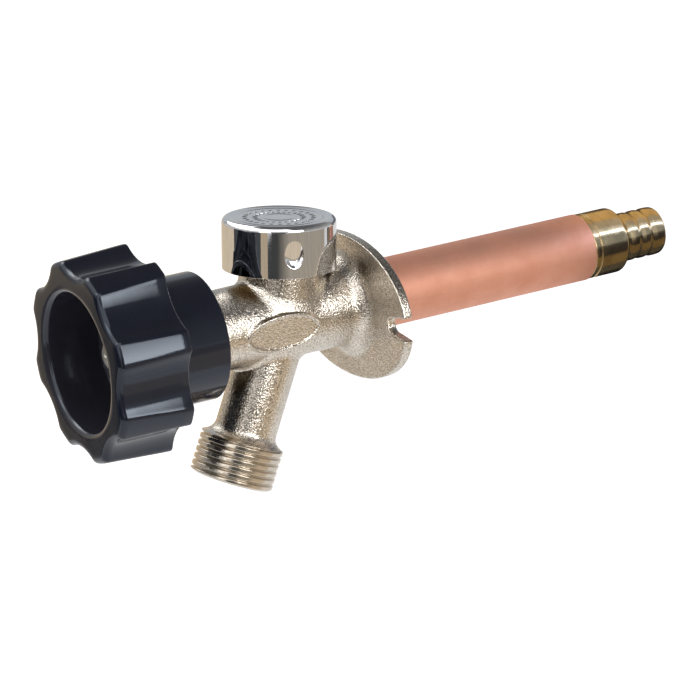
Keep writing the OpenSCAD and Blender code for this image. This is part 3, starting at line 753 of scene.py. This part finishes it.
CAP_R, CAP_H, CAP_LOW, CAP_WALL = 18.1, 16.4, 16.2, 0.8
CAP_ROUND, CAP_LIP, CAP_RIM_W, CAP_RIM_H, CAP_RIM_SLOPE = 1.9, 0.35, 3.4, 0.4, math.radians(15)
DIMPLES, DIMPLE_TURN = 3, math.radians(-14)
DIMPLE_TOP, DIMPLE_LOW, DIMPLE_DEEP = 28.2, 19.4, 22.8
DIMPLE_W, DIMPLE_LEAST_W, DIMPLE_DEPTH, DIMPLE_CURVE = 6.0, 0.05, 0.9, 1.6
DISC_RELIEF, DISC_CENTRE_R = 0.2, 0.4
DISC_RINGS, DISC_RING_W = (0.92, 0.34), 0.03
DISC_BARS, DISC_BANDS, DISC_BAND_W, DISC_BAR_SIDE = 26, (0.52, 0.74), 0.055, (-0.4, 0.6)
CAP_COLUMNS, CAP_ROWS, CAP_EDGE = 540, 90, 0.06
CAP_ROUND_ROWS, CAP_LIP_ROWS, DISC_ROWS = 13, 4, 72


def dimple_depth(angles, height):
    """How far the cap's wall is punched in: a long slope from above and a short lip below it."""
    period = 2 * math.pi / DIMPLES
    across = ((angles - DIMPLE_TURN + period / 2) % period - period / 2) * CAP_R
    share = np.clip((height - DIMPLE_LOW) / (DIMPLE_TOP - DIMPLE_LOW), 0, 1)
    half_w = DIMPLE_W / 2 * math.sqrt(1 - (2 * share - 1) ** 2)
    off = np.clip(np.abs(across) / max(half_w, DIMPLE_LEAST_W), 0, 1)
    inside = 1 - off ** 4
    deep = DIMPLE_DEEP + DIMPLE_CURVE * (off ** 2 - 0.5)
    lip = 1 - np.clip((deep - height) / (deep - DIMPLE_LOW), 0, 1) ** 2
    slope = np.clip((DIMPLE_TOP - height) / (DIMPLE_TOP - deep), 0, 1)
    return DIMPLE_DEPTH * inside * lip * slope


def disc_relief(angles, radius, top_r):
    """Height of the top disc's plain pattern: two rings with two bands of short bars between them."""
    share = radius / top_r
    rings = sum(math.exp(-((share - at) / DISC_RING_W) ** 2) for at in DISC_RINGS)
    band = max(math.exp(-((share - at) / DISC_BAND_W) ** 4) for at in DISC_BANDS)
    bars = smooth_step(*DISC_BAR_SIDE, np.cos(DISC_BARS * angles))
    return DISC_RELIEF * (rings + band * bars)


def cap():
    """Inside from the top down, then the outside up to the disc's middle."""
    angles = turn_angles(CAP_COLUMNS)
    top = CAP_LOW + CAP_H
    disc_h = top - CAP_RIM_H
    top_r = CAP_R - CAP_RIM_W
    wall = np.linspace(CAP_LOW + CAP_EDGE, top - CAP_ROUND, CAP_ROWS)
    rings, disc = [], []

    def add(radius, station, on_disc=0.0):
        rings.append(BREAKER.place(radius, angles, station))
        disc.append(on_disc)

    add(CAP_R - CAP_WALL, disc_h - CAP_WALL)
    for height in wall[::-1]:
        add(CAP_R - CAP_WALL - dimple_depth(angles, height), height)
    add(CAP_R - CAP_WALL, CAP_LOW)
    add(CAP_R - CAP_EDGE, CAP_LOW)
    for height in wall:
        add(CAP_R - dimple_depth(angles, height), height)
    for bend in np.linspace(0, math.pi / 2, CAP_ROUND_ROWS)[1:]:
        add(CAP_R - CAP_ROUND * (1 - math.cos(bend)), top - CAP_ROUND * (1 - math.sin(bend)))
    for bend in np.linspace(math.pi / 2, math.pi / 2 + CAP_RIM_SLOPE, CAP_LIP_ROWS)[1:]:
        add(CAP_R - CAP_ROUND + CAP_LIP * math.cos(bend), top - CAP_LIP * (1 - math.sin(bend)))
    for radius in np.linspace(top_r, DISC_CENTRE_R, DISC_ROWS):
        add(radius, disc_h + disc_relief(angles, radius, top_r), 1.0)
    masks = {"disc": np.repeat(disc[::-1], CAP_COLUMNS)}
    make_piece("chrome_cap", capped_surface(rings[::-1]), finishes["chrome"], "vacuum_breaker_cap",
               sharp=35.0, masks=masks)


cap()


# Copper tube and brass inlet

TUBE_WALL, TUBE_EDGE, TUBE_END_EDGE = 1.14, 0.3, 0.35
SEAT_BORE_R, SEAT_BORE_LEN, SEAT_LIP_W, SEAT_LIP_H, SEAT_LIP_EDGE = 4.9, 6.5, 1.0, 0.8, 0.3
SPIGOT_GAP, SPIGOT_EDGE = 0.06, 0.4
COLLAR_LEN, COLLAR_R, COLLAR_EDGE = 13.4, 10.9, 0.25
GROOVE_AT, GROOVE_W, GROOVE_DEPTH, GROOVE_SIDE = 1.8, 0.6, 0.3, 0.1
GROOVE_EDGE, GROOVE_FOOT = 0.1, 0.05
SHOULDER_SET, SHOULDER_ROUND = 0.4, 1.6
CONE_LEN, CONE_W, CONE_START, CONE_END, CONE_TOP_ROUND, CONE_FOOT_ROUND = 2.9, 0.9, 1.0, 0.5, 0.5, 0.4
BARB_R, BARB_BORE_R, BARB_BORE_EDGE = 7.55, 5.9, 0.3
RIBS, RIB_R, RIB_PITCH, RIB_ROUND = 3, 8.1, 4.45, 0.9
RIB_CORNERS = ((BARB_R, -2.1), (RIB_R, -0.8), (RIB_R, 0.8), (BARB_R, 2.1))
TIP_DRAFT, TIP_ROUND = 0.15, 1.1


def tube():
    low, high = reach("supply_tube")
    outer = high[0]
    inner = outer - TUBE_WALL
    profile = rounded([
        (inner, low[1], 0), (outer, low[1], TUBE_EDGE),
        (outer, high[1], TUBE_END_EDGE), (inner, high[1], 0),
    ])
    make_piece("copper_tube", lathe(TUBE, profile), finishes["copper"], "supply_tube")


def collar_corners(collar, shoulder):
    """The collar that meets the tube, with a groove near it."""
    start = collar + GROOVE_AT
    end = start + GROOVE_W
    bottom = COLLAR_R - GROOVE_DEPTH
    return [
        (COLLAR_R, collar, COLLAR_EDGE),
        (COLLAR_R, start, GROOVE_EDGE),
        (bottom, start + GROOVE_SIDE, GROOVE_FOOT),
        (bottom, end, GROOVE_FOOT),
        (COLLAR_R, end + GROOVE_SIDE, GROOVE_EDGE),
        (COLLAR_R, shoulder - SHOULDER_SET, SHOULDER_ROUND),
    ]


def barb_corners(shoulder, end):
    """The cone after the collar and the ribs up to the tip."""
    barb = shoulder + CONE_LEN
    corners = [
        (BARB_R + CONE_W, shoulder + CONE_START, CONE_TOP_ROUND),
        (BARB_R, barb - CONE_END, CONE_FOOT_ROUND),
    ]
    for i in range(RIBS):
        rib = barb + (i + 0.5) * RIB_PITCH
        corners += [(radius, rib + offset, RIB_ROUND) for radius, offset in RIB_CORNERS]
    return corners[:-1] + [(RIB_R - TIP_DRAFT, end, TIP_ROUND)]


def inlet():
    low, high = reach("inlet_fitting")
    tube_high = reach("supply_tube")[1]
    seat, end, collar = low[1], high[1], tube_high[1]
    shoulder = collar + COLLAR_LEN
    spigot_r = tube_high[0] - TUBE_WALL - SPIGOT_GAP
    lip_r, lip_end = SEAT_BORE_R + SEAT_LIP_W, seat + SEAT_LIP_H
    step = seat + SEAT_BORE_LEN
    profile = [
        (SEAT_BORE_R, seat, 0), (lip_r, seat, SEAT_LIP_EDGE), (lip_r, lip_end, 0),
        (spigot_r, lip_end, SPIGOT_EDGE), (spigot_r, collar, 0),
        *collar_corners(collar, shoulder), *barb_corners(shoulder, end),
        (BARB_BORE_R, end, BARB_BORE_EDGE), (BARB_BORE_R, step, 0), (SEAT_BORE_R, step, 0),
    ]
    make_piece("brass_inlet", lathe(TUBE, rounded(profile)), finishes["brass"], "inlet_fitting")


tube()
inlet()


# Camera at the photograph's viewing angle, found with the vacuum breaker upright in the picture

PHOTO_SIZE = 700
FOCAL_PIXELS = 3400
SENSOR_W = 36.0
CAMERA_AZIMUTH, CAMERA_ELEVATION = 59.534, 13.964
CAMERA_DISTANCE = 1087.42
CAMERA_NEAR, CAMERA_FAR = 0.01, 50.0
ORIGIN_PIXEL = (353.31, 299.61)


def direction(azimuth, elevation):
    """Direction from the object, with azimuth 0 towards the handle's front and 90 to the right."""
    a, e = math.radians(azimuth), math.radians(elevation)
    return Vector((math.sin(a) * math.cos(e), -math.cos(a) * math.cos(e), math.sin(e)))


def add_camera():
    turn = math.radians(CAMERA_AZIMUTH)
    back = direction(CAMERA_AZIMUTH, CAMERA_ELEVATION)
    right = Vector((math.cos(turn), math.sin(turn), 0.0))
    up = back.cross(right)
    across, down = [(pixel - PHOTO_SIZE / 2) / FOCAL_PIXELS for pixel in ORIGIN_PIXEL]
    place = (back - right * across + up * down) * CAMERA_DISTANCE * MM
    upright = Matrix((right, up, back)).transposed().to_4x4()
    upright.translation = place
    data = bpy.data.cameras.new("camera")
    data.sensor_width = SENSOR_W
    data.lens = SENSOR_W * FOCAL_PIXELS / PHOTO_SIZE
    data.clip_start, data.clip_end = CAMERA_NEAR, CAMERA_FAR
    camera = bpy.data.objects.new("camera", data)
    camera.matrix_world = Matrix.Rotation(-BREAKER_LEAN, 4, "X") @ upright
    bpy.context.scene.collection.objects.link(camera)
    bpy.context.scene.camera = camera


add_camera()


# Studio: a white floor, a grey room with a dark ceiling, softboxes, and cards that only reflections see

FLOOR_Z = -180.0
FLOOR_HALF = 8000.0
FLOOR_GLOW, FLOOR_MIRRORED, FLOOR_PAPER = 0.86, 0.5, (0.9, 0.9, 0.9)
ROOM_AROUND, ROOM_OVERHEAD, ROOM_OVERHEAD_AT = (0.50, 0.49, 0.48), (0.13, 0.13, 0.135), 0.75
CARD_R, CARD_LOW, CARD_TOP = 450.0, -179.0, -30.0
HIGH_CARD_TOP, LOW_CARD_TOP = 50.0, -118.0
CARD_COLUMNS, ARC_COLUMNS, DOME_COLUMNS, DOME_ROWS = 24, 12, 32, 16
WALL_R, WALL_LOW, WALL_TOP = 1250.0, 60.0, 520.0
DARK_CARD, GREY_CARD = (0.06, 0.06, 0.06), (0.42, 0.37, 0.30)
FADE_START, FADE_STEP, FADE_STEPS = 54.0, 2.4, 10
FADE_END = FADE_START + FADE_STEP * FADE_STEPS
INLET_R, INLET_Y = 32.0, (97.0, 230.0)
INLET_ARCS = (
    # name, colour, first and last angle
    ("inlet_dark_top", (0.12, 0.09, 0.06), 135.0, 180.0),
    ("inlet_gold", (0.84, 0.62, 0.34), 82.0, 135.0),
    ("inlet_tan", (0.60, 0.58, 0.60), 56.0, 82.0),
    ("inlet_pale", (0.9, 1.0, 1.3), 44.0, 56.0),
    ("inlet_strip", (5.0, 6.0, 9.0), 37.0, 44.0),
    ("inlet_olive", (0.36, 0.42, 0.55), 5.0, 37.0),
    ("inlet_dark", (0.03, 0.03, 0.04), -27.0, 5.0),
    ("inlet_brown", (0.24, 0.18, 0.10), -62.0, -27.0),
    ("inlet_low", (0.10, 0.10, 0.10), -95.0, -62.0),
    ("inlet_black", (0.02, 0.02, 0.02), -160.0, -95.0),
)


def bare_material(name):
    """A material that has no nodes yet."""
    material = bpy.data.materials.new(name)
    material.use_nodes = True
    material.node_tree.nodes.clear()
    return material


def stage_piece(name, points, faces, material):
    mesh = bpy.data.meshes.new(name)
    mesh.from_pydata([Vector(p) * MM for p in points], [], faces)
    mesh.materials.append(material)
    piece = bpy.data.objects.new(name, mesh)
    bpy.context.scene.collection.objects.link(piece)
    return piece


def floor_material():
    """White paper: seen as white by the camera and in reflections, with the object's shadow on it."""
    material = bare_material("floor")
    tree = material.node_tree
    paper = tree.nodes.new("ShaderNodeBsdfDiffuse")
    paper.inputs["Color"].default_value = (*FLOOR_PAPER, 1.0)
    glow = tree.nodes.new("ShaderNodeEmission")
    glow.inputs["Color"].default_value = (1.0, 1.0, 1.0, 1.0)
    path = tree.nodes.new("ShaderNodeLightPath")
    strength = None
    for kind, value in (("Is Camera Ray", FLOOR_GLOW), ("Is Glossy Ray", FLOOR_MIRRORED),
                        ("Is Transmission Ray", FLOOR_MIRRORED)):
        level = tree.nodes.new("ShaderNodeMath")
        level.operation = "MULTIPLY_ADD"
        tree.links.new(path.outputs[kind], level.inputs[0])
        level.inputs[1].default_value = value
        level.inputs[2].default_value = 0.0
        if strength:
            tree.links.new(strength, level.inputs[2])
        strength = level.outputs["Value"]
    tree.links.new(strength, glow.inputs["Strength"])
    both = tree.nodes.new("ShaderNodeAddShader")
    tree.links.new(paper.outputs["BSDF"], both.inputs[0])
    tree.links.new(glow.outputs["Emission"], both.inputs[1])
    output = tree.nodes.new("ShaderNodeOutputMaterial")
    tree.links.new(both.outputs["Shader"], output.inputs["Surface"])
    return material


def card_material(name, color):
    material = bare_material(name)
    tree = material.node_tree
    glow = tree.nodes.new("ShaderNodeEmission")
    glow.inputs["Color"].default_value = (*color, 1.0)
    output = tree.nodes.new("ShaderNodeOutputMaterial")
    tree.links.new(glow.outputs["Emission"], output.inputs["Surface"])
    return material


def add_card_rows(name, color, rows):
    """A card that only reflections see, through rows that all have the same count of points."""
    count = len(rows[0])
    faces = []
    for a in range(0, (len(rows) - 1) * count, count):
        b = a + count
        faces.extend((a + i, a + i + 1, b + i + 1, b + i) for i in range(count - 1))
    points = [point for row in rows for point in row]
    card = stage_piece(name, points, faces, card_material(name, color))
    card.visible_camera = False
    card.visible_diffuse = False
    card.visible_shadow = False
    card.visible_transmission = False


def add_card(name, color, start, end, high=CARD_TOP, low=CARD_LOW, distance=CARD_R):
    """A curved card around the object, from one azimuth to another."""
    turns = np.radians(np.linspace(start, end, CARD_COLUMNS))
    ring = [(distance * math.sin(t), -distance * math.cos(t)) for t in turns]
    add_card_rows(name, color, [[(x, y, z) for x, y in ring] for z in (low, high)])


def add_floor_card(name, color, start, end, near, far):
    """A level card just over the floor, between two azimuths and two distances."""
    middle = Vector((0.0, 0.0, CARD_LOW))
    turns = np.linspace(start, end, CARD_COLUMNS)
    rows = [[direction(turn, 0.0) * radius + middle for turn in turns] for radius in (near, far)]
    add_card_rows(name, color, rows)


def add_arc(name, color, start, end):
    """A card bent round the brass inlet, between two angles from +X towards +Z."""
    turns = np.radians(np.linspace(start, end, ARC_COLUMNS))
    ring = [(INLET_R * math.cos(t), INLET_R * math.sin(t)) for t in turns]
    add_card_rows(name, color, [[(x, y, z) for x, z in ring] for y in INLET_Y])


def add_dome(name, color, start, end, low, high):
    """A card curved over the object, between two azimuths and two elevations."""
    turns = np.linspace(start, end, DOME_COLUMNS)
    rises = np.linspace(low, high, DOME_ROWS)
    add_card_rows(name, color, [[direction(turn, rise) * WALL_R for turn in turns] for rise in rises])


def add_fade():
    """Narrow cards that step from the dark card to the grey one."""
    for i in range(FADE_STEPS):
        start = FADE_START + FADE_STEP * i
        share = (i + 0.5) / FADE_STEPS
        tone = [dark + share * (grey - dark) for dark, grey in zip(DARK_CARD, GREY_CARD)]
        add_card(f"fade_{i}", tone, start, start + FADE_STEP)


def add_cards():
    """Name, colour and azimuths of each card, then top, bottom and distance if they aren't the usual."""
    add_card("pale_left", (0.62, 0.57, 0.50), 235.0, 323.0, HIGH_CARD_TOP, -15.0)
    add_card("tan_left", (0.70, 0.58, 0.43), 235.0, 304.0, -15.0, -92.0)
    add_card("tan_left_low", (0.90, 0.74, 0.55), 235.0, 304.0, -92.0)
    add_card("tan_left_high", (0.72, 0.60, 0.45), 304.0, 323.0, -15.0, -86.0)
    add_card("dark_left_low", (0.06, 0.065, 0.07), 304.0, 330.0, -86.0)
    add_card("dark_front", (0.07, 0.075, 0.08), -37.0, 23.0, HIGH_CARD_TOP, -110.0)
    add_card("tan_front", (0.52, 0.42, 0.30), 23.0, 36.0, HIGH_CARD_TOP)
    add_card("thread_strip", (1.8, 1.8, 1.8), 20.0, 43.0, 180.0, HIGH_CARD_TOP)
    add_card("dark_camera", DARK_CARD, 36.0, FADE_START)
    add_fade()
    add_card("dark_camera_high", (0.10, 0.10, 0.10), 44.0, 70.0, 90.0, CARD_TOP)
    add_card("grey_right", GREY_CARD, FADE_END, 161.0, CARD_TOP, LOW_CARD_TOP)
    add_card("grey_right_low", GREY_CARD, FADE_END, 110.0, LOW_CARD_TOP)
    add_card("tan_right_low", (0.82, 0.66, 0.47), 110.0, 161.0, LOW_CARD_TOP)
    add_floor_card("tan_floor", (0.74, 0.62, 0.47), 60.0, 150.0, 200.0, CARD_R)
    add_card("pale_back", (0.80, 0.80, 0.80), 161.0, 187.0)
    add_card("dark_back", (0.16, 0.17, 0.19), 187.0, 235.0, 105.0, -25.0)
    add_card("cool_back", (0.50, 0.54, 0.57), 205.0, 275.0, 700.0, 120.0, WALL_R)
    add_card("white_wall", (0.65, 0.65, 0.65), -75.0, 88.0, WALL_TOP, WALL_LOW, WALL_R)
    add_dome("white_dome", (1.8, 1.8, 1.8), -95.0, 95.0, 23.0, 66.0)
    for arc in INLET_ARCS:
        add_arc(*arc)


def grade_lamp(lamp, low, high):
    """Strengths of a softbox at its low and high edges, with an even change between them."""
    lamp.use_nodes = True
    tree = lamp.node_tree
    place = tree.nodes.new("ShaderNodeNewGeometry")
    split = tree.nodes.new("ShaderNodeSeparateXYZ")
    level = tree.nodes.new("ShaderNodeMapRange")
    level.inputs["To Min"].default_value = low
    level.inputs["To Max"].default_value = high
    tree.links.new(place.outputs["Parametric"], split.inputs["Vector"])
    tree.links.new(split.outputs["Y"], level.inputs["Value"])
    tree.links.new(level.outputs["Result"], tree.nodes["Emission"].inputs["Strength"])


def add_softbox(name, azimuth, elevation, distance, width, height, radiance, grade=(1.0, 1.0)):
    """A rectangular lamp that faces the object's middle."""
    lamp = bpy.data.lights.new(name, "AREA")
    lamp.shape = "RECTANGLE"
    lamp.size, lamp.size_y = width * MM, height * MM
    lamp.energy = radiance * math.pi * lamp.size * lamp.size_y
    grade_lamp(lamp, *grade)
    towards = direction(azimuth, elevation)
    holder = bpy.data.objects.new(name, lamp)
    holder.location = towards * distance * MM
    holder.rotation_euler = towards.to_track_quat("Z", "Y").to_euler()
    bpy.context.scene.collection.objects.link(holder)


def add_world():
    """A soft room that is dimmer overhead than around."""
    world = bpy.data.worlds.new("room")
    bpy.context.scene.world = world
    world.use_nodes = True
    tree = world.node_tree
    background = tree.nodes["Background"]
    place = tree.nodes.new("ShaderNodeTexCoord")
    split = tree.nodes.new("ShaderNodeSeparateXYZ")
    ramp = tree.nodes.new("ShaderNodeValToRGB")
    around, overhead = ramp.color_ramp.elements
    around.position, overhead.position = 0.0, ROOM_OVERHEAD_AT
    around.color, overhead.color = (*ROOM_AROUND, 1.0), (*ROOM_OVERHEAD, 1.0)
    tree.links.new(place.outputs["Generated"], split.inputs["Vector"])
    tree.links.new(split.outputs["Z"], ramp.inputs["Fac"])
    tree.links.new(ramp.outputs["Color"], background.inputs["Color"])
    background.inputs["Strength"].default_value = 1.0


def add_studio():
    half = FLOOR_HALF
    corners = [(-half, -half), (half, -half), (half, half), (-half, half)]
    stage_piece("floor", [(x, y, FLOOR_Z) for x, y in corners], [(0, 1, 2, 3)], floor_material())
    add_cards()
    add_softbox("key", 95.0, 18.0, 900.0, 480.0, 400.0, 6.3, grade=(1.55, 0.45))
    add_softbox("front_fill", 5.0, 43.0, 1100.0, 380.0, 350.0, 3.0)
    add_softbox("left_fill", 300.0, 48.0, 1000.0, 450.0, 380.0, 4.0)
    add_world()


add_studio()
bpy.context.scene.view_settings.view_transform = "Standard"
